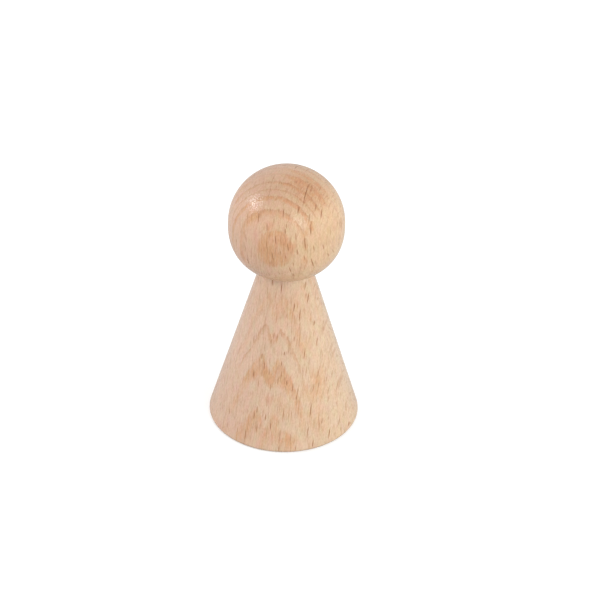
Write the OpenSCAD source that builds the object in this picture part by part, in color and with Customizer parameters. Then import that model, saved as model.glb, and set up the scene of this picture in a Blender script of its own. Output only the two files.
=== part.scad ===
// Turned peg doll: a ball head on a cone body, joined by a hidden dowel pin.
// The origin is the centre of the underside and +Z points up through the head.

/* [Head] */
// Diameter of the ball at its widest
head_d = 20.2; // [17:0.1:24]
// Height of the head from its seat to its crown
head_h = 19.1; // [17.5:0.1:24]
// Height of the short straight band round the widest part of the ball
head_band_h = 0.8; // [0.2:0.1:2]
// Angle below the widest part at which the ball begins to draw in towards the neck, in degrees
draw_in_start = 15; // [5:1:25]

/* [Body] */
// Height of the body from its underside to the seat of the head
body_h = 30.9; // [24:0.1:60]
// Diameter of the body just above its underside, at its widest
base_d = 26.4; // [20:0.1:40]
// Radius of the rounded edge round the underside
edge_r = 0.5; // [0.2:0.1:1.5]
// Diameter of the neck, where the seats of the head and the body meet
neck_d = 8.9; // [7.6:0.1:12]

/* [Dowel pin] */
// Diameter of the pin
pin_d = 5; // [4:0.1:6]
// Length of the pin, half of it in the head and half in the body
pin_l = 20; // [10:0.5:24]
// Chamfer at each end of the pin
pin_chamfer = 0.6; // [0.2:0.1:1]
// Number of glue grooves along the pin
groove_count = 8; // [4:1:10]
// Radius of each glue groove
groove_r = 0.3; // [0.1:0.05:0.4]
// Play between the pin and the wall of its sockets
pin_play = 0.05; // [0.02:0.01:0.2]
// Room for glue between each end of the pin and the bottom of its socket
glue_room = 0.5; // [0.2:0.1:1]

/* [Hidden] */
$fn = 96;

// Angle between neighbouring points of an arc, in degrees
arc_step = 3;

// How far a cutting shape runs past the face that it cuts
overrun = 1;

head_r = head_d / 2;
neck_r = neck_d / 2;
pin_r = pin_d / 2;
total_h = body_h + head_h;
socket_r = pin_r + pin_play;
socket_depth = pin_l / 2 + glue_room;

// Centre of the upper half of the ball, with the straight band below it
upper_z = total_h - head_r;
lower_z = upper_z - head_band_h;

// Rim of the neck in the profile plane, where the head's underside and the body's flank both end
neck_rim = [neck_r, body_h];

// The arc that draws the ball in leaves the ball without a corner and runs down to the neck's rim
draw_in_dir = [cos(draw_in_start), -sin(draw_in_start)];
draw_in_point = [0, lower_z] + head_r * draw_in_dir;
draw_in_chord = draw_in_point - neck_rim;
draw_in_r = draw_in_chord * draw_in_chord / (2 * draw_in_chord * draw_in_dir);
draw_in_centre = draw_in_point - draw_in_r * draw_in_dir;

// Centre of the rounded edge in the profile plane
edge_centre = [base_d / 2 - edge_r, edge_r];

// Direction square to the body's flank, which runs from the neck's rim to touch the rounded edge
flank_normal = direction(edge_centre, neck_rim) - acos(edge_r / norm(neck_rim - edge_centre));

// Direction from one point of the profile plane to another
function direction(from, to) = atan2(to.y - from.y, to.x - from.x);

// Points along an arc between two directions, in even steps of about arc_step
function arc_points(centre, radius, from_angle, to_angle) =
    let (
        turn = to_angle - from_angle,
        count = ceil(abs(turn) / arc_step)
    )
    [for (i = [0 : count])
        let (angle = from_angle + turn * i / count)
        centre + radius * [cos(angle), sin(angle)]];

// Outline of the head from its crown, down its side and along its seat
head_outline = concat(
    arc_points([0, upper_z], head_r, 90, 0),
    arc_points([0, lower_z], head_r, 0, -draw_in_start),
    arc_points(draw_in_centre, draw_in_r, -draw_in_start, direction(draw_in_centre, neck_rim)),
    [[0, body_h]]
);

// Outline of the body from the middle of its underside, up its flank and along its seat
body_outline = concat(
    [[0, 0]],
    arc_points(edge_centre, edge_r, -90, flank_normal),
    [neck_rim, [0, body_h]]
);

// Blind socket for the pin; it runs down from the seat where side is -1 and up where side is 1
module pin_socket(side) {
    middle_z = body_h + side * (socket_depth - overrun) / 2;
    translate([0, 0, middle_z]) cylinder(h = socket_depth + overrun, r = socket_r, center = true);
}

module body() {
    color("burlywood")
    difference() {
        rotate_extrude() polygon(body_outline);
        pin_socket(-1);
    }
}

module head() {
    color("tan")
    difference() {
        rotate_extrude() polygon(head_outline);
        pin_socket(1);
    }
}

// Half of the pin's profile is a straight side with a chamfer at each end
module pin_blank() {
    half_l = pin_l / 2;
    rotate_extrude()
        polygon([
            [0, -half_l],
            [pin_r - pin_chamfer, -half_l],
            [pin_r, -half_l + pin_chamfer],
            [pin_r, half_l - pin_chamfer],
            [pin_r - pin_chamfer, half_l],
            [0, half_l]
        ]);
}

module glue_grooves() {
    for (i = [0 : groove_count - 1])
        rotate(i * 360 / groove_count)
            translate([pin_r, 0, 0])
                cylinder(h = pin_l + 2 * overrun, r = groove_r, center = true, $fn = 24);
}

module neck_dowel() {
    color("wheat")
    translate([0, 0, body_h])
        difference() {
            pin_blank();
            glue_grooves();
        }
}

body();
head();
neck_dowel();
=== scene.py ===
"""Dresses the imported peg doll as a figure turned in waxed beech, and sets up its camera, lamps and floor.

Meshes are in metres. The wood's pattern is in millimetres, in the wood's own directions: across the rays,
away from the heart and along the fibres. The head and the body were cut from one length of wood, so one
pattern runs through both.
"""
import logging
import math
from dataclasses import dataclass
from enum import Enum

import bpy
import numpy as np
from mathutils import Matrix, Vector
from numpy.typing import NDArray


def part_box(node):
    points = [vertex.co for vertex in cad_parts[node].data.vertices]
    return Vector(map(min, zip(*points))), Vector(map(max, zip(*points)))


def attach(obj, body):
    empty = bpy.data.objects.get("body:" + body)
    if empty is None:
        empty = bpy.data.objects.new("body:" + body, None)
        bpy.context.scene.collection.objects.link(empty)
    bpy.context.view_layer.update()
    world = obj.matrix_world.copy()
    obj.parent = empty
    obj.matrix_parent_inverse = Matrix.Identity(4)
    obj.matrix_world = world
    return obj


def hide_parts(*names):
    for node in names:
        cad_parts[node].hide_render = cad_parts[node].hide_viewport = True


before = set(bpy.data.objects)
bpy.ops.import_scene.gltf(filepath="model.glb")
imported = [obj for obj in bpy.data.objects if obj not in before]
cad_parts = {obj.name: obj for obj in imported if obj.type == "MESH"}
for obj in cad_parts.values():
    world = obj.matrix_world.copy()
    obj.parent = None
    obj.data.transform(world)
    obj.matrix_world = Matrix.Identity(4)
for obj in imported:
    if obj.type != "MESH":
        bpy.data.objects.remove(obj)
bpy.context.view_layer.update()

Array = NDArray[np.float64]
Colour = tuple[float, float, float, float]
Triple = tuple[float, float, float]
Socket = bpy.types.NodeSocket
Input = bpy.types.NodeSocket | float | tuple[float, ...]

LOG = logging.getLogger("peg_doll")
MM = 0.001
WHITE: Colour = (1.0, 1.0, 1.0, 1.0)

# the seat between the head and the body, in millimetres
SEAT_HEIGHT = 30.9
NECK_RADIUS = 4.45

# points of a profile that lie closer than this are one point, in millimetres
SAME_POINT = 1e-6
# edges sharper than this stay sharp in the shading, in degrees
SHARP_ANGLE = 30.0
# Blender reads a colour ramp at places this many steps apart from end to end
RAMP_STEPS = 255
# share of a step by which a stop comes before its place, so that the place itself reads it
STOP_LEAD = 0.2
# a marked fleck's seen length over the distance from its middle to its tip
SEEN_LENGTH = 1.55


def srgb(red: float, green: float, blue: float) -> Colour:
    """A colour written as it looks on a screen, made linear.

    A share up to 0.04045 is divided by 12.92. A greater one becomes (share + 0.055) / 1.055, to the
    power 2.4.

    Args:
        red: Red from 0 to 255.
        green: Green from 0 to 255.
        blue: Blue from 0 to 255.

    Returns:
        The linear colour with an alpha of 1.
    """
    share = np.array((red, green, blue)) / 255.0
    linear = np.where(share <= 0.04045, share / 12.92, ((share + 0.055) / 1.055) ** 2.4)
    return (float(linear[0]), float(linear[1]), float(linear[2]), 1.0)


def arc(centre: tuple[float, float], radius: float, start: float, end: float, count: int) -> Array:
    """Points of a circle's arc in the profile plane.

    Each point is the centre plus the radius times (cos t, sin t), with t in even steps from start to end.

    Args:
        centre: The circle's centre, as radius and height.
        radius: The circle's radius.
        start: First direction, in degrees.
        end: Last direction, in degrees.
        count: Number of points.

    Returns:
        The points, one row each.
    """
    turn = np.linspace(math.radians(start), math.radians(end), count)
    return np.array(centre) + radius * np.column_stack((np.cos(turn), np.sin(turn)))


def straight(start: tuple[float, float], end: tuple[float, float], count: int) -> Array:
    """Points at even steps along a straight line in the profile plane, each a radius and a height."""
    return np.linspace(start, end, count)


def join(*parts: Array) -> Array:
    """Puts stretches of a profile end to end and drops the points that two stretches share.

    Args:
        parts: The stretches in order.

    Returns:
        The whole profile.
    """
    points = np.concatenate(parts)
    moved = np.linalg.norm(np.diff(points, axis=0), axis=1) > SAME_POINT
    return points[np.concatenate(([True], moved))]


def lathe(name: str, profile: Array, segments: int) -> bpy.types.Object:
    """Turns a profile about +Z into a closed mesh.

    Point (i, j) is (r_i cos a_j, r_i sin a_j, z_i), where a_j is j full turns over the number of segments.
    The first and last profile points lie on the axis, and each becomes one vertex with a fan of triangles.

    Args:
        name: Name of the new object.
        profile: Points as radius and height in millimetres, with the wood on the left as it is followed.
        segments: Number of steps in a full turn.

    Returns:
        The new object, at the origin.
    """
    angle = np.arange(segments) * (2.0 * math.pi / segments)
    points = profile * MM
    rings = points[1:-1]
    grid = np.empty((len(rings), segments, 3))
    grid[..., 0] = rings[:, :1] * np.cos(angle)
    grid[..., 1] = rings[:, :1] * np.sin(angle)
    grid[..., 2] = rings[:, 1:]
    poles = np.array(((0.0, 0.0, points[0, 1]), (0.0, 0.0, points[-1, 1])))
    vertices = np.concatenate((grid.reshape(-1, 3), poles))

    index = np.arange(len(rings) * segments).reshape(len(rings), segments)
    ahead = np.roll(index, -1, axis=1)
    quads = np.stack((index[:-1], ahead[:-1], ahead[1:], index[1:]), axis=-1).reshape(-1, 4)
    first, last = index.size, index.size + 1
    first_fan = np.column_stack((np.full(segments, first), ahead[0], index[0]))
    last_fan = np.column_stack((np.full(segments, last), index[-1], ahead[-1]))

    mesh = bpy.data.meshes.new(name)
    mesh.from_pydata(vertices.tolist(), [], quads.tolist() + first_fan.tolist() + last_fan.tolist())
    mesh.shade_smooth()
    mesh.set_sharp_from_angle(angle=math.radians(SHARP_ANGLE))
    mesh.validate()
    piece = bpy.data.objects.new(name, mesh)
    bpy.context.scene.collection.objects.link(piece)
    return piece


@dataclass(frozen=True)
class Mottle:
    """Soft noise: its blotches in a millimetre in each direction, its finer layers, and its whole swing."""

    per_mm: Triple
    layers: float
    swing: float = 1.0


class Tree:
    """A node tree with short calls for the nodes that the finishes use."""

    def __init__(self, tree: bpy.types.NodeTree) -> None:
        """Empties the tree, ready for new nodes."""
        self.tree = tree
        self.tree.nodes.clear()

    def node(self, kind: str, **settings: object) -> bpy.types.Node:
        """Adds a node and sets its properties.

        Args:
            kind: Blender's name for the type of node.
            settings: Values for the node's properties.

        Returns:
            The node.
        """
        made = self.tree.nodes.new(kind)
        for name, value in settings.items():
            setattr(made, name, value)
        return made

    def feed(self, socket: Socket, value: Input) -> None:
        """Links a socket to another node's output, or sets its number, vector or colour.

        Args:
            socket: The socket that takes the value.
            value: The output, number, vector or colour.
        """
        if isinstance(value, bpy.types.NodeSocket):
            self.tree.links.new(value, socket)
        else:
            socket.default_value = value

    def maths(self, operation: str, first: Input, second: Input = 0.0, clamp: bool = False) -> Socket:
        """An operation on one or two numbers.

        Args:
            operation: Blender's name for the operation.
            first: First number.
            second: Second number.
            clamp: Whether the result is kept between 0 and 1.

        Returns:
            The result.
        """
        made = self.node("ShaderNodeMath", operation=operation, use_clamp=clamp)
        self.feed(made.inputs[0], first)
        self.feed(made.inputs[1], second)
        return made.outputs[0]

    def carry(self, operation: str, numbers: tuple[Input, ...]) -> Socket:
        """Carries one operation through several numbers.

        Args:
            operation: Blender's name for the operation.
            numbers: The numbers, two or more.

        Returns:
            The result.
        """
        total = numbers[0]
        for number in numbers[1:]:
            total = self.maths(operation, total, number)
        return total

    def add(self, *numbers: Input) -> Socket:
        """The sum of several numbers."""
        return self.carry("ADD", numbers)

    def times(self, *numbers: Input) -> Socket:
        """The product of several numbers."""
        return self.carry("MULTIPLY", numbers)

    def vector(self, operation: str, first: Input, second: Input = (0.0, 0.0, 0.0)) -> Socket:
        """An operation on one or two vectors.

        Args:
            operation: Blender's name for the operation.
            first: First vector.
            second: Second vector.

        Returns:
            The result, a number for a length and a vector otherwise.
        """
        made = self.node("ShaderNodeVectorMath", operation=operation)
        self.feed(made.inputs[0], first)
        self.feed(made.inputs[1], second)
        return made.outputs["Value" if operation == "LENGTH" else "Vector"]

    def split(self, value: Input) -> tuple[Socket, Socket, Socket]:
        """Takes a vector or a colour apart.

        Args:
            value: The vector or colour.

        Returns:
            Its three numbers.
        """
        made = self.node("ShaderNodeSeparateXYZ")
        self.feed(made.inputs[0], value)
        return (made.outputs[0], made.outputs[1], made.outputs[2])

    def combine(self, *numbers: Input) -> Socket:
        """Puts three numbers together.

        Args:
            numbers: The numbers for X, Y and Z, or for red, green and blue.

        Returns:
            The vector or colour.
        """
        made = self.node("ShaderNodeCombineXYZ")
        for socket, number in zip(made.inputs, numbers):
            self.feed(socket, number)
        return made.outputs[0]

    def step(self, value: Input, low: float, high: float, start: Input = 0.0, end: Input = 1.0) -> Socket:
        """A smooth step as a value goes from low to high.

        Args:
            value: The value that drives the step.
            low: Where the step starts.
            high: Where the step ends.
            start: Result at and before low.
            end: Result at and after high.

        Returns:
            The result.
        """
        made = self.node("ShaderNodeMapRange", interpolation_type="SMOOTHSTEP")
        values = {"Value": value, "From Min": low, "From Max": high, "To Min": start, "To Max": end}
        for name, number in values.items():
            self.feed(made.inputs[name], number)
        return made.outputs["Result"]

    def swing(self, noise: Input, size: float, middle: float = 0.0) -> Socket:
        """Noise made to swing about a middle value, with its whole range as the size."""
        return self.add(self.times(self.maths("SUBTRACT", noise, 0.5), size), middle)

    def mix(self, share: Input, first: Input, second: Input, blend: str = "MIX") -> Socket:
        """A mix of two colours.

        Args:
            share: How much of the second colour, from 0 to 1.
            first: First colour.
            second: Second colour.
            blend: Blender's name for the way of mixing.

        Returns:
            The mixed colour.
        """
        made = self.node("ShaderNodeMix", data_type="RGBA", blend_type=blend)
        self.feed(made.inputs[0], share)
        self.feed(made.inputs[6], first)
        self.feed(made.inputs[7], second)
        return made.outputs[2]


@dataclass(frozen=True)
class Ring:
    """A growth ring: how far towards the heart its edge lies, its dark line, and its band with its width."""

    edge_mm: float
    line: float
    band: float
    band_mm: float


@dataclass(frozen=True)
class Mark:
    """A place on the doll's surface; the azimuth is in degrees from -Y towards +X."""

    azimuth: float
    height_mm: float


@dataclass(frozen=True)
class Swell(Mark):
    """A place where the rings swell towards the heart, or sink where the shift is negative."""

    reach_mm: float
    shift_mm: float


@dataclass(frozen=True)
class Tone(Mark):
    """A soft darker patch, or a paler one where the change is negative."""

    reach_mm: float
    change: float


@dataclass(frozen=True)
class Ray(Mark):
    """One dark ray fleck."""

    length_mm: float
    depth: float
    reach_mm: float = 1.2
    width_mm: float = 0.22

    def scale(self) -> Triple:
        """Factors by which the fleck's rim comes to lie at a distance of 1 from its middle."""
        return (2.0 / self.width_mm, 1.0 / self.reach_mm, SEEN_LENGTH / self.length_mm)


@dataclass(frozen=True)
class RayCells:
    """A size of scattered fleck: the cell that each has to itself, its own size, and its share of cells."""

    across_mm: float
    away_mm: float
    height_mm: float
    width_mm: float
    length_mm: float
    share: float
    depth: float

    def stretch(self) -> Triple:
        """Factors that make the cell one unit wide, deep and high."""
        return (1.0 / self.across_mm, 1.0 / self.away_mm, 1.0 / self.height_mm)

    def scale(self) -> Triple:
        """Factors from units of the cell to half widths, half cells and half lengths of the fleck."""
        return (2.0 * self.across_mm / self.width_mm, 2.0, 2.0 * self.height_mm / self.length_mm)


# the wandering line of the rings' dip, and the rings' waves, in millimetres
DIP_WANDER = Mottle((0.0, 0.0, 0.12), 1.0, 1.2)
RING_WAVES = (
    Mottle((0.16, 0.16, 0.05), 1.0, 0.5),
    Mottle((0.9, 0.9, 0.16), 2.0, 0.4),
    Mottle((3.6, 3.6, 0.45), 1.0, 0.5),
)

# what breaks the rings up
RING_STREAKS = Mottle((4.5, 1.4, 0.45), 2.0, 3.0)
RING_PATCHES = Mottle((0.9, 0.9, 0.3), 2.0, 1.8)

# the wood between the rings
BLOTCH = Mottle((0.22, 0.22, 0.06), 2.0, 0.12)
WARMTH = Mottle((1.0, 1.0, 0.4), 2.0, 0.2)
BLUSH = Mottle((1.1, 1.1, 0.5), 3.0)
FIBRE = Mottle((4.0, 1.4, 0.6), 1.0, 0.3)
STREAK = Mottle((5.0, 0.9, 0.36), 2.0)
PORE = Mottle((7.0, 5.0, 1.8), 1.0, 0.42)
RELIEF = Mottle((4.5, 4.5, 1.6), 1.0)

# the growth rings, from the back to the front
FAR_RINGS = (
    Ring(-14.0, 0.2, 0.5, 0.9),
    Ring(-12.4, 0.3, 0.4, 0.9),
    Ring(-10.7, 0.2, 0.5, 1.0),
    Ring(-8.9, 0.3, 0.6, 0.9),
    Ring(-7.2, 0.2, 0.5, 0.8),
    Ring(-5.3, 0.3, 0.6, 1.1),
    Ring(-3.3, 0.2, 0.4, 1.1),
    Ring(-1.5, 0.2, 0.5, 1.4),
)

BODY_RINGS = FAR_RINGS + (
    Ring(0.2, 0.15, 0.3, 0.8),
    Ring(2.3, 0.15, 0.3, 0.9),
    Ring(5.0, 0.0, 0.22, 1.2),
    Ring(6.6, 0.42, 0.12, 0.6),
    Ring(8.2, 0.0, 0.78, 1.6),
    Ring(10.95, 0.0, 0.45, 2.0),
)

HEAD_RINGS = FAR_RINGS + (
    Ring(0.4, 0.15, 0.6, 1.4),
    Ring(2.5, 0.45, 0.6, 0.8),
    Ring(4.1, 0.4, 0.22, 0.5),
    Ring(5.2, 0.4, 0.85, 0.95),
    Ring(7.15, 0.4, 0.5, 1.0),
    Ring(9.12, 0.0, 0.8, 3.0),
)

BODY_SWELLS = (
    Swell(-38, 3.0, 5.0, 0.25),
    Swell(-3, 4.6, 2.0, 0.45),
    Swell(-27, 16.0, 2.5, -0.1),
    Swell(-14, 13.0, 2.2, -0.2),
    Swell(12, 8.0, 4.0, -0.2),
    Swell(-50, 18.5, 4.0, 0.45),
)

HEAD_SWELLS = (
    Swell(-38, 39.0, 7.0, 0.65),
    Swell(-12, 34.5, 6.0, 0.8),
    Swell(3, 42.5, 5.0, -0.35),
)

BODY_TONES = (
    Tone(-24, 13.0, 1.8, 0.15),
    Tone(-5, 12.9, 1.8, 0.4),
    Tone(-14, 13.6, 1.6, 0.3),
    Tone(-15, 11.0, 1.3, -0.7),
    Tone(-46, 9.0, 4.0, -0.2),
    Tone(-15, 20.6, 1.4, 0.5),
    Tone(5, 2.6, 2.2, 0.6),
    Tone(15, 25.0, 5.0, 0.3),
    Tone(22, 19.0, 3.5, 0.35),
    Tone(33, 10.5, 3.8, 0.5),
    Tone(32, 4.0, 2.5, 0.3),
    Tone(-30, 27.0, 5.0, 0.2),
    Tone(-18, 9.5, 3.6, 0.22),
    Tone(1, 8.0, 3.4, 0.28),
    Tone(38, 13.0, 2.6, 0.35),
    Tone(29, 6.0, 3.0, 0.3),
    Tone(-27.5, 15.4, 1.6, -0.2),
    Tone(-45, 11.0, 3.0, -0.35),
    Tone(-14, 12.9, 2.0, 0.25),
    Tone(-22, 5.6, 1.5, 0.35),
    Tone(-10, 6.0, 1.4, 0.3),
    Tone(-36, 2.5, 2.0, 0.25),
)

HEAD_TONES = (
    Tone(50, 48.3, 4.4, 0.75),
    Tone(-98, 49.3, 4.8, -1.0),
    Tone(14, 49.5, 2.2, 0.35),
    Tone(-42, 45.3, 2.3, 0.5),
    Tone(-21, 44.6, 1.4, 0.4),
    Tone(-20, 40.5, 2.4, 0.3),
    Tone(-6, 41.0, 1.3, -0.3),
    Tone(4, 41.5, 1.8, 0.4),
    Tone(-46, 41.0, 2.6, 0.12),
    Tone(-63, 42.0, 2.4, -0.15),
    Tone(34, 44.0, 2.6, -0.5),
    Tone(31, 40.5, 3.6, -0.9),
    Tone(29, 44.5, 1.3, 0.9),
    Tone(-10, 45.2, 3.5, 0.15),
    Tone(-49, 41.0, 3.0, -0.2),
    Tone(-64, 44.0, 2.4, -0.25),
    Tone(60, 49.6, 3.4, 0.4),
    Tone(20.5, 43.6, 1.2, 0.5),
    Tone(20.5, 41.2, 1.2, 0.6),
    Tone(20, 38.7, 1.2, 0.5),
)

BODY_RAYS = (
    Ray(-29, 30.2, 1.6, 1.0),
    Ray(-8, 29.4, 2.2, 1.0),
    Ray(-18, 28.0, 1.4, 0.6),
    Ray(15.5, 26.0, 1.6, 1.0),
    Ray(-13, 23.8, 1.4, 0.5),
    Ray(24, 24.4, 2.4, 0.8),
    Ray(22, 22.4, 1.6, 0.6),
    Ray(45, 26.9, 2.2, 0.9),
    Ray(44, 29.2, 1.5, 0.8),
    Ray(47, 22.1, 0.9, 0.8),
    Ray(45, 18.7, 1.7, 0.7),
    Ray(25, 17.5, 2.3, 0.8),
    Ray(13, 20.4, 1.0, 0.6),
    Ray(25, 14.4, 2.0, 0.5),
    Ray(38.5, 13.2, 1.4, 0.6),
    Ray(48, 16.6, 1.2, 0.4),
    Ray(66, 15.8, 1.6, 0.3, 2.6, 0.3),
    Ray(68, 14.6, 1.4, 0.3, 2.6, 0.3),
    Ray(30.5, 11.0, 1.4, 0.6),
    Ray(48, 11.5, 1.0, 0.5),
    Ray(45, 8.0, 1.2, 0.4),
    Ray(25, 7.1, 2.9, 1.0),
    Ray(32, 5.6, 2.2, 0.4),
    Ray(34.5, 4.7, 1.1, 0.6),
    Ray(39.5, 2.0, 2.0, 0.9),
    Ray(52, 3.0, 1.3, 0.5),
    Ray(63, 1.2, 1.4, 0.8, 0.45),
    Ray(20.5, 3.5, 2.2, 0.8),
    Ray(24, 1.2, 1.4, 0.9),
    Ray(10, 0.9, 1.2, 0.7),
    Ray(-27, 16.8, 1.0, 0.9),
    Ray(-22.5, 15.3, 1.6, 1.0),
    Ray(-33.5, 13.3, 2.0, 1.0),
    Ray(-24, 13.8, 1.1, 0.6),
    Ray(-16, 14.3, 1.1, 0.6),
    Ray(-26.5, 11.8, 1.4, 0.6),
    Ray(-13, 11.8, 1.3, 0.6),
    Ray(-6, 13.0, 1.4, 0.9),
    Ray(-3, 16.1, 1.1, 0.8),
    Ray(-7, 15.3, 1.0, 0.5),
    Ray(-2.5, 14.3, 1.1, 0.6),
    Ray(3, 12.7, 1.0, 1.0),
    Ray(9, 11.8, 1.5, 0.9),
    Ray(14, 11.0, 1.3, 0.7),
    Ray(12.5, 10.0, 1.0, 0.7),
    Ray(-24, 7.2, 1.2, 0.9),
    Ray(-26, 6.1, 1.6, 1.0),
    Ray(-15.5, 6.2, 1.3, 1.0),
    Ray(-10.5, 4.7, 1.5, 1.0),
    Ray(-22, 3.9, 1.8, 0.8),
    Ray(-31, 2.3, 1.7, 1.0),
    Ray(-39, 2.4, 1.2, 0.5),
    Ray(-52, 4.6, 1.2, 0.8),
    Ray(-50, 2.2, 1.2, 0.6),
    Ray(0, 6.8, 2.6, 0.7),
    Ray(-2.5, 3.0, 2.4, 0.7),
    Ray(-3, 0.9, 1.0, 0.8),
    Ray(6, 2.8, 1.5, 0.6),
    Ray(-43, 19.2, 1.3, 0.8),
    Ray(-47, 18.0, 1.2, 0.5),
    Ray(-14.5, 20.9, 1.2, 0.9),
    Ray(-17.5, 19.8, 0.9, 0.6),
    Ray(0, 17.9, 0.7, 1.0),
    Ray(-25, 18.4, 1.4, 0.5),
    Ray(-35, 27.5, 1.4, 0.3),
    Ray(2, 24.5, 1.2, 0.4),
    Ray(68, 9.2, 2.6, 0.32, 2.8, 0.34),
    Ray(66, 20.2, 2.0, 0.3, 2.6, 0.34),
)

HEAD_RAYS = (
    Ray(-34, 45.4, 1.8, 1.0),
    Ray(-48.5, 44.8, 0.9, 0.8),
    Ray(-21, 44.3, 1.5, 0.9),
    Ray(-14.5, 45.6, 1.4, 0.5),
    Ray(-4, 46.7, 1.6, 1.0),
    Ray(16, 47.0, 1.4, 1.0),
    Ray(0, 44.9, 0.8, 0.8),
    Ray(-1, 44.1, 0.9, 1.0),
    Ray(10, 43.2, 1.5, 0.8),
    Ray(28, 45.7, 1.4, 0.8),
    Ray(26.5, 43.9, 1.9, 1.0),
    Ray(19, 41.8, 2.6, 1.0),
    Ray(-10.5, 42.6, 1.5, 1.0),
    Ray(2, 41.4, 1.5, 1.0),
    Ray(-12.8, 39.4, 1.8, 1.0),
    Ray(-19, 41.3, 1.6, 0.6),
    Ray(-5, 40.3, 0.9, 0.7),
    Ray(0, 39.4, 0.9, 0.7),
    Ray(11.3, 40.4, 1.2, 0.8),
    Ray(7.5, 38.0, 0.9, 0.8),
    Ray(4.5, 36.7, 1.3, 1.0),
    Ray(8.5, 35.2, 1.0, 1.0),
    Ray(27, 37.6, 2.6, 1.0),
    Ray(28, 40.6, 1.2, 0.8),
    Ray(18.5, 39.0, 1.2, 0.6),
    Ray(39, 40.2, 1.2, 0.6),
    Ray(46, 38.0, 1.0, 0.6),
    Ray(-41, 36.6, 1.5, 1.0),
    Ray(-43, 41.3, 1.4, 0.8),
    Ray(-43, 39.2, 1.4, 0.6),
    Ray(45, 45.6, 2.0, 0.9),
    Ray(41, 46.7, 0.9, 0.7),
    Ray(-6.5, 35.7, 0.9, 0.6),
    Ray(-57, 39.5, 1.0, 0.6),
    Ray(70, 42.3, 2.0, 0.3, 1.2, 0.3),
    Ray(38, 48.57, 6.0, 1.0, 3.1, 0.21),
    Ray(-36, 48.7, 6.0, 0.5, 1.4, 0.2),
    Ray(-60, 49.6, 6.0, 0.5, 1.5, 0.18),
)

SCATTERED_RAYS = (
    RayCells(1.5, 7.0, 4.0, 0.2, 2.8, 0.5, 0.55),
    RayCells(0.6, 3.0, 2.2, 0.17, 2.0, 0.7, 0.3),
)


@dataclass(frozen=True)
class Sheen:
    """How a coat takes the light: its roughness, the strength of its relief, and its specular level."""

    roughness: float
    relief: float
    specular: float


class Coat(Enum):
    """How a beech surface is finished."""

    WAXED = Sheen(0.22, 0.7, 0.5)
    RAW = Sheen(0.7, 1.0, 0.3)


@dataclass(frozen=True)
class Beech:
    """Beech with its growth rings, ray flecks, fibres and pores."""

    coat: Coat
    rings: tuple[Ring, ...] = BODY_RINGS
    swells: tuple[Swell, ...] = ()
    tones: tuple[Tone, ...] = ()
    rays: tuple[Ray, ...] = ()
    # colours
    pale: Colour = srgb(218, 187, 157)
    # painted shade: the darker, pinker colour of the doll's left side, away from the lamps on the right
    flush: Colour = srgb(219, 183, 158)
    ring: Colour = srgb(213, 164, 125)
    line: Colour = srgb(188, 136, 97)
    fleck: Colour = srgb(169, 115, 77)
    end_grain: Colour = srgb(232, 228, 225)
    # painted shade: the change from darker, pinker wood on the left to the pale wood on the right, with a
    # border that wanders with the warmth noise
    shade_reach_mm: float = 14.0
    shade_swing: float = 1.6
    shade_edge: tuple[float, float] = (-0.5, 0.5)
    # the heart's direction, in degrees, and the rings' bend round it
    heart_turn: float = 16.0
    bend_from_mm: float = 0.5
    right_bend: float = 0.03
    left_bend: float = 0.02
    # the dip of the rings
    dip_mm: float = 0.85
    dip_half_width_mm: float = 1.4
    dip_fade_mm: tuple[float, float] = (25.0, 33.0)
    dip_fade_back_mm: tuple[float, float] = (-4.0, 0.0)
    # how a ring's line and band rise and fall, the band's fall in shares of its width
    ring_reach_mm: float = 15.0
    line_rise_mm: float = 0.12
    line_fall_mm: tuple[float, float] = (0.1, 0.5)
    band_rise_mm: float = 0.35
    band_fall: tuple[float, float] = (0.5, 1.0)
    # where the rings show less: beside the middle, on upright surfaces, and below a height
    clear_middle_mm: float = 0.0
    clear_mm: tuple[float, float] = (4.5, 7.5)
    clear_share: float = 0.85
    clear_slope: tuple[float, float] = (0.55, 0.85)
    clear_below_mm: tuple[float, float] = (-2.0, -1.0)
    clear_below_left: float = 0.1
    # the marked patches' full middle
    tone_middle_mm: float = 0.2
    # streaks: the noise at which they start and are full, and their full strength
    shade_streaks: Triple = (0.5, 0.7, 0.5)
    wood_streaks: Triple = (0.53, 0.78, 0.43)
    # the slope at which end grain begins and is full
    end_grain_slope: tuple[float, float] = (0.45, 0.95)
    # the rays' lean, and how a fleck fades out to its rim
    lean: float = 0.0
    lean_from_mm: float = 31.0
    marked_fade: tuple[float, float] = (0.4, 1.0)
    scattered_fade: tuple[float, float] = (0.3, 1.0)
    # scattered flecks: the smallest, their spread, and how much stronger they are at the back
    smallest: float = 0.5
    spread: float = 0.8
    back_gain: float = 3.2
    back_mm: tuple[float, float] = (-1.0, 4.0)
    # how the grain, the warmth and the blush tint red, green and blue
    grain_tint: Triple = (0.78, 1.0, 1.22)
    warmth_tint: Triple = (-0.3, 0.2, 1.0)
    blush_tint: Triple = (0.1, -0.15, 0.1)
    # the relief, its shares, and what the fibres and flecks add to the roughness
    relief_mm: float = 0.105
    relief_share: float = 0.7
    pore_share: float = 0.15
    fleck_share: float = -0.4
    fibre_roughness: float = 0.1
    fleck_roughness: float = 0.06

    def make(self, name: str, outline: Array) -> bpy.types.Material:
        """Builds the material.

        Args:
            name: Name of the material.
            outline: The piece's visible outline as radius and height, with the height rising.

        Returns:
            The material.
        """
        material = bpy.data.materials.new(name)
        material.use_nodes = True
        BeechTree(material.node_tree, self, outline).finish()
        return material


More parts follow.
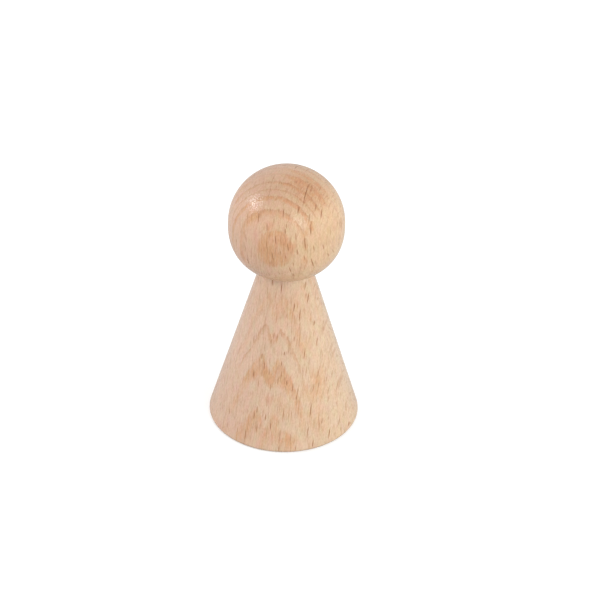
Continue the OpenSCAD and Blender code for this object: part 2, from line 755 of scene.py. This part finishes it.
class BeechTree(Tree):
    """The node tree of one beech material, which works out the wood's figure at each place in the wood."""

    def __init__(self, tree: bpy.types.NodeTree, wood: Beech, outline: Array) -> None:
        """Adds the position in the wood, and the noises and flecks that several parts of the figure read.

        The position is in millimetres: across the rays, away from the heart and along the fibres.

        Args:
            tree: The material's own tree.
            wood: The wood's sizes and marks.
            outline: The visible outline that the marks lie on.
        """
        super().__init__(tree)
        self.wood = wood
        self.outline = outline
        where = self.node("ShaderNodeTexCoord")
        turned = self.node("ShaderNodeMapping")
        turned.inputs["Scale"].default_value = (1.0 / MM, 1.0 / MM, 1.0 / MM)
        turned.inputs["Rotation"].default_value = (0.0, 0.0, math.radians(wood.heart_turn))
        self.feed(turned.inputs["Vector"], where.outputs["Object"])
        self.place = turned.outputs["Vector"]
        self.across, self.away, self.height = self.split(self.place)
        self.slope = self.maths("ABSOLUTE", self.split(where.outputs["Normal"])[2])
        self.warmth = self.noise(WARMTH)
        self.fibre = self.noise(FIBRE)
        self.pore = self.noise(PORE)
        self.flecks = self.all_rays()

    def noise(self, mottle: Mottle) -> Socket:
        """Soft noise from 0 to 1.

        Args:
            mottle: The noise's sizes.

        Returns:
            The noise.
        """
        made = self.node("ShaderNodeTexNoise")
        made.inputs["Scale"].default_value = 1.0
        made.inputs["Detail"].default_value = mottle.layers
        self.feed(made.inputs["Vector"], self.vector("MULTIPLY", self.place, mottle.per_mm))
        return made.outputs["Fac"]

    def mottled(self, mottle: Mottle, middle: float = 0.0) -> Socket:
        """Noise made to swing about a middle value by its own swing."""
        return self.swing(self.noise(mottle), mottle.swing, middle)

    def spot(self, mark: Mark) -> Triple:
        """A mark's position in the wood.

        With r the outline's radius at the mark's height and a its azimuth, it is at (r sin a, -r cos a), then
        turned by the heart's direction.

        Args:
            mark: The mark.

        Returns:
            The position.
        """
        angle, turn = math.radians(mark.azimuth), math.radians(self.wood.heart_turn)
        radius = float(np.interp(mark.height_mm, self.outline[:, 1], self.outline[:, 0]))
        right, back = radius * math.sin(angle), -radius * math.cos(angle)
        across = right * math.cos(turn) - back * math.sin(turn)
        away = right * math.sin(turn) + back * math.cos(turn)
        return (across, away, mark.height_mm)

    def distance(self, mark: Mark) -> Socket:
        """Distance from a mark's place, in millimetres."""
        return self.vector("LENGTH", self.vector("SUBTRACT", self.place, self.spot(mark)))

    def dip(self) -> Socket:
        """How far the rings dip, in millimetres, along a line that wanders up the front of the body."""
        wood = self.wood
        off_line = self.maths("ABSOLUTE", self.add(self.across, self.mottled(DIP_WANDER)))
        return self.times(
            self.step(off_line, 0.0, wood.dip_half_width_mm, wood.dip_mm, 0.0),
            self.step(self.height, *wood.dip_fade_mm, 1.0, 0.0),
            self.step(self.away, *wood.dip_fade_back_mm, 1.0, 0.0),
        )

    def through_rings(self) -> Socket:
        """Distance towards the heart, with the rings' bend, dip, waves and swells taken away.

        The bend grows with the square of the distance to the right or left of the middle.

        Returns:
            The distance in millimetres, which is the same all along one ring.
        """
        wood = self.wood
        right = self.maths("MAXIMUM", self.maths("SUBTRACT", self.across, wood.bend_from_mm), 0.0)
        left = self.maths("MAXIMUM", self.maths("SUBTRACT", -wood.bend_from_mm, self.across), 0.0)
        bend = self.add(self.times(right, right, wood.right_bend), self.times(left, left, wood.left_bend))
        moved = self.add(bend, self.dip())
        for wave in RING_WAVES:
            moved = self.add(moved, self.mottled(wave))
        for swell in wood.swells:
            shift = self.step(self.distance(swell), 0.0, swell.reach_mm, swell.shift_mm, 0.0)
            moved = self.add(moved, shift)
        return self.maths("SUBTRACT", self.times(self.away, -1.0), moved)

    def ring_shades(self) -> tuple[Socket, Socket]:
        """How strong the line at the ring's edge and the band beside it are, each from 0 to about 1.

        A stepped ramp gives the nearest edge below each place, with its line, band and width. Each edge lies
        on one of the places at which Blender reads the ramp.

        Returns:
            The line and the band.
        """
        wood = self.wood
        span = 2.0 * wood.ring_reach_mm
        share = self.maths("DIVIDE", self.add(self.through_rings(), wood.ring_reach_mm), span, clamp=True)
        ramp = self.node("ShaderNodeValToRGB")
        ramp.color_ramp.interpolation = "CONSTANT"
        stops = ramp.color_ramp.elements
        for count, ring in enumerate(wood.rings):
            at = round((ring.edge_mm + wood.ring_reach_mm) / span * RAMP_STEPS) / RAMP_STEPS
            stop = stops[count] if count < len(stops) else stops.new(at)
            stop.position = at - STOP_LEAD / RAMP_STEPS
            stop.color = (at, ring.line, ring.band, ring.band_mm / span)
        self.feed(ramp.inputs[0], share)
        edge, line, band = self.split(ramp.outputs["Color"])

        above = self.maths("SUBTRACT", share, edge)
        line_fall = self.step(above, *(end / span for end in wood.line_fall_mm), 1.0, 0.0)
        line_rise = self.step(above, 0.0, wood.line_rise_mm / span)
        along = self.maths("DIVIDE", above, ramp.outputs["Alpha"])
        band_fall = self.step(along, *wood.band_fall, 1.0, 0.0)
        band_rise = self.step(above, 0.0, wood.band_rise_mm / span)
        return self.times(line_fall, line_rise, line), self.times(band_fall, band_rise, band)

    def shown(self) -> Socket:
        """Share of the rings that shows: less at the doll's upright sides, and below a height."""
        wood = self.wood
        off_middle = self.maths("ABSOLUTE", self.maths("SUBTRACT", self.across, wood.clear_middle_mm))
        aside = self.step(off_middle, *wood.clear_mm)
        upright = self.maths("SUBTRACT", 1.0, self.step(self.slope, *wood.clear_slope))
        kept = self.maths("SUBTRACT", 1.0, self.times(aside, upright, wood.clear_share))
        return self.times(kept, self.step(self.height, *wood.clear_below_mm, wood.clear_below_left, 1.0))

    def broken(self) -> Socket:
        """A factor about 1, never below 0, that breaks the rings up into streaks and patches."""
        factor = self.times(self.mottled(RING_STREAKS, 1.0), self.mottled(RING_PATCHES, 1.0))
        return self.maths("MAXIMUM", factor, 0.0)

    def patches(self) -> Input:
        """The sum of the marked patches, which is below 0 where paler ones lie."""
        total: Input = 0.0
        for tone in self.wood.tones:
            patch = self.step(self.distance(tone), self.wood.tone_middle_mm, tone.reach_mm, tone.change, 0.0)
            total = self.add(total, patch)
        return total

    def marked_rays(self, upright: Socket) -> Input:
        """The flecks that have their own places, from 0 to 1.

        A fleck is a lens in the plane of its ray, full in its middle and fading out to its rim.

        Args:
            upright: Position in the wood, with the rays' lean taken away.

        Returns:
            The strongest fleck at each place.
        """
        wood = self.wood
        strongest: Input = 0.0
        for ray in wood.rays:
            across, away, height = self.spot(ray)
            centre = (across + wood.lean * (height - wood.lean_from_mm), away, height)
            offset = self.vector("MULTIPLY", self.vector("SUBTRACT", upright, centre), ray.scale())
            lens = self.step(self.vector("LENGTH", offset), *wood.marked_fade, ray.depth, 0.0)
            strongest = self.maths("MAXIMUM", strongest, lens)
        return strongest

    def scattered_rays(self, upright: Socket) -> Socket:
        """Flecks at random places all through the wood, from 0 to 1, and stronger at the back.

        The wood is cut into cells, narrow across the rays, long towards the heart and tall along the fibres.
        Each cell holds one lens about its own point, with a random size and depth.

        Args:
            upright: Position in the wood, with the rays' lean taken away.

        Returns:
            The strongest fleck at each place.
        """
        wood = self.wood
        strongest: Input = 0.0
        for cell in SCATTERED_RAYS:
            stretched = self.vector("MULTIPLY", upright, cell.stretch())
            cells = self.node("ShaderNodeTexVoronoi", feature="F1", voronoi_dimensions="3D")
            cells.inputs["Scale"].default_value = 1.0
            self.feed(cells.inputs["Vector"], stretched)
            offset = self.vector("SUBTRACT", stretched, cells.outputs["Position"])
            distance = self.vector("LENGTH", self.vector("MULTIPLY", offset, cell.scale()))
            chance, size, _ = self.split(cells.outputs["Color"])
            near = self.maths("DIVIDE", distance, self.add(self.times(size, wood.spread), wood.smallest))
            lens = self.step(near, *wood.scattered_fade, 1.0, 0.0)
            depth = self.step(chance, 1.0 - cell.share, 1.0, 0.0, cell.depth)
            strongest = self.maths("MAXIMUM", strongest, self.times(lens, depth))
        return self.times(strongest, self.step(self.away, *wood.back_mm, 1.0, wood.back_gain))

    def all_rays(self) -> Socket:
        """The strongest fleck at each place, marked or scattered, once the rays' lean is taken away."""
        lean = self.times(self.maths("SUBTRACT", self.height, self.wood.lean_from_mm), self.wood.lean)
        upright = self.combine(self.add(self.across, lean), self.away, self.height)
        return self.maths("MAXIMUM", self.scattered_rays(upright), self.marked_rays(upright))

    def figured(self) -> Socket:
        """Colour of the wood with its rings, patches, streaks, flecks and end grain, and painted shade that
        makes its left side darker and pinker.

        Returns:
            The colour.
        """
        wood = self.wood
        line, band = self.ring_shades()
        shown, broken = self.shown(), self.broken()
        line = self.times(line, shown, broken)
        shade = self.maths("MAXIMUM", self.add(self.times(band, shown), self.patches()), 0.0)
        shade = self.times(shade, broken)
        streak = self.noise(STREAK)
        start, full, strength = wood.shade_streaks
        shade_streaks = self.times(shade, self.step(streak, start, full, 0.0, strength))
        start, full, strength = wood.wood_streaks
        wood_streaks = self.step(streak, start, full, 0.0, strength)

        # painted shade: the left side takes the darker, pinker colour and the right side the pale one
        right = self.times(self.across, 1.0 / wood.shade_reach_mm)
        unshaded = self.step(self.add(right, self.swing(self.warmth, wood.shade_swing)), *wood.shade_edge)
        colour = self.mix(unshaded, wood.flush, wood.pale)
        colour = self.mix(shade, colour, wood.ring)
        colour = self.mix(line, colour, wood.line)
        colour = self.mix(shade_streaks, colour, wood.line)
        colour = self.mix(wood_streaks, colour, wood.fleck)
        colour = self.mix(self.flecks, colour, wood.fleck)
        cut = self.mix(self.step(self.slope, *wood.end_grain_slope), WHITE, wood.end_grain)
        return self.mix(1.0, colour, cut, "MULTIPLY")

    def tint(self) -> Socket:
        """Factor about white by which the grain, the wood's warmth and its blush change the colour.

        Returns:
            The factor as a colour.
        """
        wood = self.wood
        fibres, pores = self.swing(self.fibre, FIBRE.swing), self.swing(self.pore, PORE.swing)
        grain = self.add(fibres, self.mottled(BLOTCH), pores)
        warm = self.swing(self.warmth, WARMTH.swing)
        blush = self.noise(BLUSH)
        parts = []
        for grained, warmed, blushed in zip(wood.grain_tint, wood.warmth_tint, wood.blush_tint):
            change = self.add(self.times(grain, grained), self.times(warm, warmed))
            parts.append(self.add(change, self.swing(blush, blushed), 1.0))
        return self.combine(*parts)

    def relief(self) -> Socket:
        """Direction of the surface with its fine relief, in which the flecks lie deeper.

        Returns:
            The direction.
        """
        bump = self.node("ShaderNodeBump")
        bump.inputs["Strength"].default_value = self.wood.coat.value.relief
        bump.inputs["Distance"].default_value = self.wood.relief_mm * MM
        height = self.add(
            self.times(self.noise(RELIEF), self.wood.relief_share),
            self.times(self.pore, self.wood.pore_share),
            self.times(self.flecks, self.wood.fleck_share),
        )
        self.feed(bump.inputs["Height"], height)
        return bump.outputs["Normal"]

    def finish(self) -> None:
        """Adds the surface with its colour, roughness and relief."""
        wood = self.wood
        rough = self.swing(self.fibre, wood.fibre_roughness, wood.coat.value.roughness)
        surface = self.node("ShaderNodeBsdfPrincipled")
        self.feed(surface.inputs["Base Color"], self.mix(1.0, self.figured(), self.tint(), "MULTIPLY"))
        self.feed(surface.inputs["Roughness"], self.add(rough, self.times(self.flecks, wood.fleck_roughness)))
        self.feed(surface.inputs["Normal"], self.relief())
        surface.inputs["Specular IOR Level"].default_value = wood.coat.value.specular
        output = self.node("ShaderNodeOutputMaterial")
        self.feed(output.inputs["Surface"], surface.outputs[0])


@dataclass
class Dowel:
    """The grooved pin that joins the head and the body; sizes in millimetres."""

    radius: float = 2.5
    bottom: float = 20.9
    top: float = 40.9
    play: float = 0.05
    glue_room: float = 0.5

    def dress(self) -> bpy.types.Object:
        """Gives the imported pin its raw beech.

        Returns:
            The pin.
        """
        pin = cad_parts["neck_dowel"]
        outline = straight((self.radius, self.bottom), (self.radius, self.top), count=2)
        raw = Beech(Coat.RAW).make("raw_beech", outline)
        if not pin.material_slots:
            pin.data.materials.append(raw)
        for place in pin.material_slots:
            place.material = raw
        return pin

    def socket(self, side: int) -> tuple[float, float]:
        """Radius of the socket and height of its blind end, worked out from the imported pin.

        Args:
            side: 1 for the socket in the head and -1 for the one in the body.

        Returns:
            The radius and the height, in millimetres.
        """
        low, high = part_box("neck_dowel")
        radius = (high[0] - low[0]) / 2.0 / MM + self.play
        end = high[2] if side > 0 else low[2]
        return radius, end / MM + side * self.glue_room


@dataclass
class Body:
    """The cone body with its rounded lower edge, flat seat and blind socket; sizes in millimetres."""

    base_radius: float = 13.2
    height: float = SEAT_HEIGHT
    neck_radius: float = NECK_RADIUS
    edge_radius: float = 0.5
    segments: int = 192

    def foot_radius(self) -> float:
        """Radius of the flat underside."""
        return self.base_radius - self.edge_radius

    def flank(self) -> tuple[Array, Array]:
        """The rounded lower edge, and the straight side that leaves it smoothly and ends at the neck.

        The side touches the edge's circle where the direction square to it is the direction from the circle's
        centre to the neck's rim, less the angle whose cosine is the circle's radius over the distance between
        them.

        Returns:
            The points of the edge and of the side.
        """
        centre = (self.foot_radius(), self.edge_radius)
        rise, run = self.height - centre[1], self.neck_radius - centre[0]
        to_rim, off_rim = math.atan2(rise, run), math.acos(self.edge_radius / math.hypot(rise, run))
        edge = arc(centre, self.edge_radius, -90.0, math.degrees(to_rim - off_rim), count=37)
        side = straight(tuple(edge[-1]), (self.neck_radius, self.height), count=72)
        return edge, side

    def build(self, dowel: Dowel) -> bpy.types.Object:
        """Turns the body and gives it waxed beech.

        Args:
            dowel: The pin that its socket takes.

        Returns:
            The body.
        """
        socket_radius, socket_end = dowel.socket(-1)
        edge, side = self.flank()
        profile = join(
            straight((0.0, 0.0), tuple(edge[0]), count=12),
            edge,
            side,
            straight((self.neck_radius, self.height), (socket_radius, self.height), count=4),
            straight((socket_radius, self.height), (socket_radius, socket_end), count=10),
            straight((socket_radius, socket_end), (0.0, socket_end), count=4),
        )
        piece = lathe("turned_body", profile, self.segments)
        beech = Beech(Coat.WAXED, BODY_RINGS, BODY_SWELLS, BODY_TONES, BODY_RAYS)
        piece.data.materials.append(beech.make("waxed_beech_body", join(edge, side)))
        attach(piece, "root")
        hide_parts("body")
        return piece


@dataclass
class Head:
    """The ball head with its short band, drawn-in underside, flat seat and blind socket; in millimetres."""

    radius: float = 10.1
    top: float = 50.0
    band_height: float = 0.8
    seat_height: float = SEAT_HEIGHT
    neck_radius: float = NECK_RADIUS
    draw_in_start: float = 15.0
    segments: int = 192

    def outline(self) -> Array:
        """The visible outline from the neck's rim up to the crown.

        Below the band the ball goes on to the draw-in angle. There an arc leaves it without a corner and ends
        at the rim. With c the line from the rim to that point and n the direction square to the ball there,
        the arc's radius is c squared over twice c along n.

        Returns:
            The points.
        """
        upper, lower = self.top - self.radius, self.top - self.radius - self.band_height
        start = math.radians(self.draw_in_start)
        square = np.array((math.cos(start), -math.sin(start)))
        leave = np.array((0.0, lower)) + self.radius * square
        rim = np.array((self.neck_radius, self.seat_height))
        chord = leave - rim
        bend = float(chord @ chord / (2.0 * chord @ square))
        centre = leave - bend * square
        to_rim = math.degrees(math.atan2(rim[1] - centre[1], rim[0] - centre[0]))
        return join(
            arc(tuple(centre), bend, to_rim, -self.draw_in_start, count=26),
            arc((0.0, lower), self.radius, -self.draw_in_start, 0.0, count=8),
            arc((0.0, upper), self.radius, 0.0, 90.0, count=60),
        )

    def build(self, dowel: Dowel) -> bpy.types.Object:
        """Turns the head and gives it waxed beech.

        Args:
            dowel: The pin that its socket takes.

        Returns:
            The head.
        """
        socket_radius, socket_end = dowel.socket(1)
        outline = self.outline()
        profile = join(
            straight((0.0, socket_end), (socket_radius, socket_end), count=4),
            straight((socket_radius, socket_end), (socket_radius, self.seat_height), count=10),
            straight((socket_radius, self.seat_height), (self.neck_radius, self.seat_height), count=4),
            outline,
        )
        piece = lathe("turned_head", profile, self.segments)
        beech = Beech(
            Coat.WAXED,
            HEAD_RINGS,
            HEAD_SWELLS,
            HEAD_TONES,
            HEAD_RAYS,
            pale=srgb(218, 182, 146),
            # painted shade: the darker, pinker colour of the head's left side
            flush=srgb(217, 176, 149),
            ring=srgb(212, 160, 119),
            right_bend=0.025,
            clear_middle_mm=-0.8,
            clear_mm=(6.9, 8.3),
            clear_below_mm=(33.5, 38.0),
            lean=0.15,
        )
        piece.data.materials.append(beech.make("waxed_beech_head", outline))
        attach(piece, "root")
        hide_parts("head")
        return piece


@dataclass(frozen=True)
class Lamp:
    """A soft square lamp: its direction from the doll, distance and side in metres, and power in watts."""

    name: str
    towards: Triple
    distance: float
    side: float
    power: float
    colour: Triple
    in_reflections: bool = True


LAMPS = (
    Lamp("front_lamp", (0.427, -0.698, 0.575), 0.6, 0.14, 0.42, (1.0, 1.0, 0.98)),
    Lamp("left_lamp", (-0.847, 0.11, 0.52), 0.6, 0.13, 0.86, (0.95, 0.98, 1.0)),
    Lamp("wide_right_lamp", (0.85, -0.35, 0.35), 0.9, 0.8, 3.05, (0.94, 1.0, 0.96), in_reflections=False),
)


@dataclass
class Studio:
    """A white room: a pale floor, an even sky and soft lamps; sizes in metres."""

    foot_radius: float
    opening_spare: float = 0.05 * MM
    floor_radius: float = 2.0
    floor_steps: int = 96
    floor_white: float = 0.64
    floor_glow: float = 0.45
    sky_light: float = 0.86
    lamp_aim: Triple = (0.0, 0.0, 0.03)

    def paper(self) -> bpy.types.Material:
        """The floor's material: matt and pale, with a glow for the eye alone, and clear from below.

        Returns:
            The material.
        """
        material = bpy.data.materials.new("pale_floor")
        material.use_nodes = True
        tree = Tree(material.node_tree)
        rays = tree.node("ShaderNodeLightPath")
        side = tree.node("ShaderNodeNewGeometry")
        matt = tree.node("ShaderNodeBsdfDiffuse")
        matt.inputs["Color"].default_value = (self.floor_white, self.floor_white, self.floor_white, 1.0)
        glow = tree.node("ShaderNodeEmission")
        tree.feed(glow.inputs["Strength"], tree.times(rays.outputs["Is Camera Ray"], self.floor_glow))
        lit = tree.node("ShaderNodeAddShader")
        tree.feed(lit.inputs[0], matt.outputs[0])
        tree.feed(lit.inputs[1], glow.outputs[0])
        clear = tree.node("ShaderNodeBsdfTransparent")
        either = tree.node("ShaderNodeMixShader")
        tree.feed(either.inputs[0], tree.times(rays.outputs["Is Camera Ray"], side.outputs["Backfacing"]))
        tree.feed(either.inputs[1], lit.outputs[0])
        tree.feed(either.inputs[2], clear.outputs[0])
        output = tree.node("ShaderNodeOutputMaterial")
        tree.feed(output.inputs["Surface"], either.outputs[0])
        return material

    def floor(self) -> bpy.types.Object:
        """Lays the pale floor that takes the doll's shadow.

        It is a flat ring. Its opening is a little wider than the doll's flat underside and lies wholly under
        the doll, so that light reaches the underside when the doll is looked at from below. Each point is a
        radius times (cos a, sin a), with a in even steps of a full turn.

        Returns:
            The floor.
        """
        angle = np.arange(self.floor_steps) * (2.0 * math.pi / self.floor_steps)
        circle = np.column_stack((np.cos(angle), np.sin(angle), np.zeros(self.floor_steps)))
        inner = np.arange(self.floor_steps)
        ahead = np.roll(inner, -1)
        quads = np.column_stack((inner, inner + self.floor_steps, ahead + self.floor_steps, ahead))
        opening = circle * (self.foot_radius + self.opening_spare)
        points = np.concatenate((opening, circle * self.floor_radius))
        mesh = bpy.data.meshes.new("floor")
        mesh.from_pydata(points.tolist(), [], quads.tolist())
        mesh.materials.append(self.paper())
        ground = bpy.data.objects.new("floor", mesh)
        bpy.context.scene.collection.objects.link(ground)
        return ground

    def sky(self) -> None:
        """Makes the world white to the eye and in reflections, and a little dimmer as light."""
        world = bpy.data.worlds.new("white_room")
        world.use_nodes = True
        bpy.context.scene.world = world
        tree = Tree(world.node_tree)
        rays = tree.node("ShaderNodeLightPath")
        seen = tree.maths("MAXIMUM", rays.outputs["Is Camera Ray"], rays.outputs["Is Glossy Ray"])
        seen = tree.maths("MAXIMUM", seen, rays.outputs["Is Transmission Ray"])
        white = tree.node("ShaderNodeBackground")
        white.inputs["Color"].default_value = WHITE
        strength = tree.add(tree.times(seen, 1.0 - self.sky_light), self.sky_light)
        tree.feed(white.inputs["Strength"], strength)
        output = tree.node("ShaderNodeOutputWorld")
        tree.feed(output.inputs["Surface"], white.outputs[0])

    def hang(self, lamp: Lamp) -> bpy.types.Object:
        """Hangs a lamp so that it faces the doll.

        Args:
            lamp: The lamp's sizes.

        Returns:
            The lamp.
        """
        light = bpy.data.lights.new(lamp.name, "AREA")
        light.size = lamp.side
        light.energy = lamp.power
        light.color = lamp.colour
        hung = bpy.data.objects.new(lamp.name, light)
        direction = Vector(lamp.towards).normalized()
        hung.location = Vector(self.lamp_aim) + direction * lamp.distance
        hung.rotation_mode = "QUATERNION"
        hung.rotation_quaternion = direction.to_track_quat("Z", "Y")
        hung.visible_glossy = lamp.in_reflections
        bpy.context.scene.collection.objects.link(hung)
        return hung

    def build(self) -> None:
        """Lays the floor, makes the sky and hangs the lamps."""
        self.floor()
        self.sky()
        for lamp in LAMPS:
            LOG.info("%s is hung", self.hang(lamp).name)


@dataclass
class PhotoCamera:
    """The camera that took the photograph; sizes in metres and angles in degrees."""

    target: Triple = (0.00256, 0.0, 0.023588)
    distance: float = 0.6111
    elevation: float = 35.01
    roll: float = 1.09
    lens_mm: float = 210.0
    sensor_mm: float = 36.0
    nearest: float = 0.01

    def build(self) -> bpy.types.Object:
        """Sets the camera up and makes it the scene's own.

        It looks down at the target from in front, by the elevation. The roll turns its right side towards its
        top.

        Returns:
            The camera.
        """
        rise, roll = math.radians(self.elevation), math.radians(self.roll)
        back = Vector((0.0, -math.cos(rise), math.sin(rise)))
        side = Vector((1.0, 0.0, 0.0))
        top = Vector((0.0, math.sin(rise), math.cos(rise)))
        right = math.cos(roll) * side + math.sin(roll) * top
        up = math.cos(roll) * top - math.sin(roll) * side
        lens = bpy.data.cameras.new("photo_camera")
        lens.lens = self.lens_mm
        lens.sensor_width = self.sensor_mm
        lens.clip_start = self.nearest
        camera = bpy.data.objects.new("photo_camera", lens)
        turned = Matrix((right, up, back)).transposed().to_4x4()
        camera.matrix_world = Matrix.Translation(Vector(self.target) + back * self.distance) @ turned
        bpy.context.scene.collection.objects.link(camera)
        bpy.context.scene.camera = camera
        return camera


def main() -> None:
    """Builds the doll, then the room and the camera, and reports each piece."""
    logging.basicConfig(level=logging.INFO, format="%(name)s: %(message)s")
    bpy.context.scene.view_settings.view_transform = "Standard"
    dowel = Dowel()
    body = Body()
    for piece in (dowel.dress(), body.build(dowel), Head().build(dowel)):
        LOG.info("%s has %d faces", piece.name, len(piece.data.polygons))
    Studio(foot_radius=body.foot_radius() * MM).build()
    LOG.info("%s is in place", PhotoCamera().build().name)


if __name__ == "__main__":
    main()
